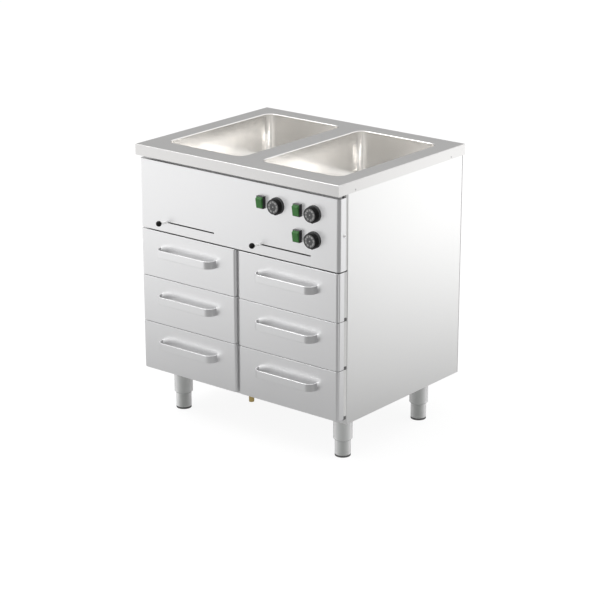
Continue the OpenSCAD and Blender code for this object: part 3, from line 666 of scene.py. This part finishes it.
for control in ("left", "upper", "lower"):
    low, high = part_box("knob_" + control)
    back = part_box("control_panel")[0].y - knob_gap
    depth = back - low.y
    axis = Vector(((low.x + high.x) / 2, back, high.z - knob_radius))
    knob_place = Matrix.Translation(axis) @ Matrix.Rotation(math.pi / 2, 4, "X")
    skirt_build = bmesh.new()
    rings = []
    for radius, reach, height, rib in skirt_rings:
        rings.append(pointed_ring(skirt_build, knob_place, radius * knob_radius, reach * tip_reach,
                                  height * depth, rib * rib_depth))
    walled(skirt_build, rings)
    piece("knob_skirt_" + control, skirt_build, skirt_finish, "knob_" + control)
    barrel_build = bmesh.new()
    rings = []
    for radius, reach, height in barrel_rings:
        rings.append(pointed_ring(barrel_build, knob_place, radius * knob_radius, reach * tip_reach,
                                  height * depth, 0.0))
    for height in (depth, depth - dial_sink):
        rings.append(pointed_ring(barrel_build, knob_place, dial_radius, dial_radius, height, 0.0))
    walled(barrel_build, rings)
    piece("knob_barrel_" + control, barrel_build, knob_finish, "knob_" + control,
          "knob_" + control)
    dial_build = bmesh.new()
    dial_place = knob_place @ Matrix.Translation((0.0, 0.0, depth - dial_sink))
    disc_radius = dial_radius - dial_play
    turned(dial_build, [(0.0, 0.0), (disc_radius, 0.0), (disc_radius, dial_rise - dial_play),
                        (disc_radius - dial_play, dial_rise), (0.0, dial_rise)], dial_place,
           steps=64)
    piece("dial_" + control, dial_build, dial_finish, "knob_" + control)
    figure_build = figures.copy()
    bmesh.ops.transform(figure_build, verts=figure_build.verts,
                        matrix=dial_place @ Matrix.Translation((0.0, 0.0, dial_rise)))
    piece("dial_figures_" + control, figure_build, figure_finish, "knob_" + control)
figures.free()

# Drain levers. Bright flat steel bars that come out through the panel's slots, welded to the hubs
# of the drain valves, with black moulded ball knobs screwed on.
lever_finish = grained_metal("bright drawn bar", (0.97, 0.97, 0.965), roughness=0.5,
                             grain=(90, 90, 90), contrast=0.02, metal=0.1)
dress("lever_steel", lever_finish)
lever_edge = 0.0005
soften(["drain_lever_left", "drain_lever_right"], lever_edge)

# Drawers. Each front is a tray folded from one sheet, closed behind by the drawer's inner skin; its
# bow handle is bent from flat strip with rounded edges and welded on.
# The strip's finish paints a glow that shows only in the drawer front's reflection of it, paler
# towards its upper edge.
handle_finish = grained_metal("brushed strip", (0.845, 0.845, 0.85), roughness=0.31,
                              grain=(14, 420, 420), contrast=0.015, relief=0.006, painted_upper_glow=0.65)
dress("handle_steel", handle_finish)
fold_radius = 0.0095
fold_steps = 10
tray_edge = 0.001
tray_sheet = 0.0015
strip_thickness = 0.003
strip_edge = 0.0012
strip_bend = 0.028
bend_steps = 20
rounding_steps = 4


def bent_back(low, high, radius, steps):
    """Line of a sheet or strip bent back at both ends, as points with their outward directions."""
    line = [(Vector((low.x, high.y, 0.0)), Vector((-1.0, 0.0, 0.0)))]
    line += arc(low.x + radius, low.y + radius, radius, 180.0, 270.0, steps)
    line += arc(high.x - radius, low.y + radius, radius, 270.0, 360.0, steps)
    line += [(Vector((high.x, high.y, 0.0)), Vector((1.0, 0.0, 0.0)))]
    return line


def folded_tray(build, low, high):
    """Adds a drawer front: bent at both sides, softly folded above and below, open behind."""
    outline = bent_back(low, high, fold_radius, fold_steps)
    edge_turn = arc(tray_edge, low.z + tray_edge, tray_edge, 270.0, 180.0, rounding_steps)
    levels = [(point.x, point.y) for point, _ in edge_turn]
    levels += [(inset, low.z + high.z - height) for inset, height in reversed(levels)]
    rings = []
    for inset, height in levels:
        ring = []
        for point, out in outline:
            ring.append(build.verts.new(point - inset * out + Vector((0.0, 0.0, height))))
        rings.append(ring)
    for lower, upper in zip(rings, rings[1:]):
        for i in range(len(outline) - 1):
            build.faces.new([lower[i], lower[i + 1], upper[i + 1], upper[i]])
    build.faces.new(rings[0])
    build.faces.new(rings[-1])
    behind = build.faces.new([ring[0] for ring in rings] + [ring[-1] for ring in reversed(rings)])
    bmesh.ops.recalc_face_normals(build, faces=build.faces)
    bmesh.ops.inset_region(build, faces=[behind], thickness=tray_sheet)
    bmesh.ops.inset_region(build, faces=[behind], depth=low.y + 2.0 * tray_sheet - high.y)


def bow(build, low, high):
    """Adds a bow handle: flat strip with rounded edges, bent back to the front at both ends."""
    inner = strip_edge - strip_thickness
    outer = -strip_edge
    bottom = low.z + strip_edge
    top = high.z - strip_edge
    section = []
    for across, up, start in ((inner, bottom, 180.0), (outer, bottom, 270.0), (outer, top, 0.0),
                              (inner, top, 90.0)):
        section += arc(across, up, strip_edge, start, start + 90.0, rounding_steps)
    rings = []
    for point, out in bent_back(low, high, strip_bend, bend_steps):
        rings.append([build.verts.new(point + spot.x * out + Vector((0.0, 0.0, spot.y)))
                      for spot, _ in section])
    walled(build, rings)


for column in ("left", "right"):
    for row in ("bottom", "middle", "top"):
        drawer = column + "_" + row
        soften(["drawer_box_" + drawer], inner_edge)
        tray_build = bmesh.new()
        folded_tray(tray_build, *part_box("drawer_front_" + drawer))
        piece("tray_" + drawer, tray_build, front_finish, "drawer_" + drawer,
              "drawer_front_" + drawer)
        bow_build = bmesh.new()
        bow(bow_build, *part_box("drawer_handle_" + drawer))
        piece("bow_" + drawer, bow_build, handle_finish, "drawer_" + drawer,
              "drawer_handle_" + drawer)

# Seals. Pale silicone strips in the grooves between the side panels' front folds and the drawers
# and panel, cut short at the rubber buffers and pressed on.
seal_finish = moulded("pale silicone", (0.66, 0.66, 0.65), roughness=0.6, fineness=900.0,
                      contrast=0.04)
seal_inset = 0.0006
seal_width = 0.009
seal_room = 0.0001
buffer_room = 0.0095
side_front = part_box("side_panel_right")[0].y
side_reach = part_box("side_panel_right")[1].x
panel_low, panel_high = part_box("control_panel")
grooves = [(panel_high, panel_low.z + seal_inset)]
for row in ("bottom", "middle", "top"):
    row_low, row_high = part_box("drawer_front_right_" + row)
    grooves.append((row_high, row_low.z + buffer_room))
seal_build = bmesh.new()
for side in (-1.0, 1.0):
    for corner, bottom in grooves:
        front = corner.y + seal_room
        top = corner.z - seal_inset
        size = Vector((seal_width, side_front - front, top - bottom))
        middle = Vector((side * (corner.x - seal_inset - seal_width / 2), (front + side_front) / 2,
                         (bottom + top) / 2))
        strip_place = Matrix.Translation(middle) @ Matrix.Diagonal(size.to_4d())
        strip = bmesh.ops.create_cube(seal_build, size=1.0, matrix=strip_place)
        for point in strip["verts"]:
            if point.co.y > middle.y:
                point.co.x += side * (side_reach - corner.x)
piece("seals", seal_build, seal_finish, "cabinet")

# Fastenings. Bright socket screws in the panel's ends, dark rubber buffers stuck on beside the
# drawers, and the black plastic gland that holds a cable under the base.
screw_finish = grained_metal("bright screw", (0.72, 0.72, 0.72), roughness=0.24,
                             grain=(300, 300, 300))
buffer_finish = moulded("dark buffer rubber", (0.12, 0.12, 0.12), roughness=0.6)
gland_finish = moulded("black gland", (0.025, 0.025, 0.025), roughness=0.5)
dress("screw_steel", screw_finish)
dress("black_rubber", buffer_finish)
dress("black_plastic", gland_finish)
fastening_edge = 0.0004
soften(["drawer_buffers", "cable_gland", "panel_screws"], fastening_edge)
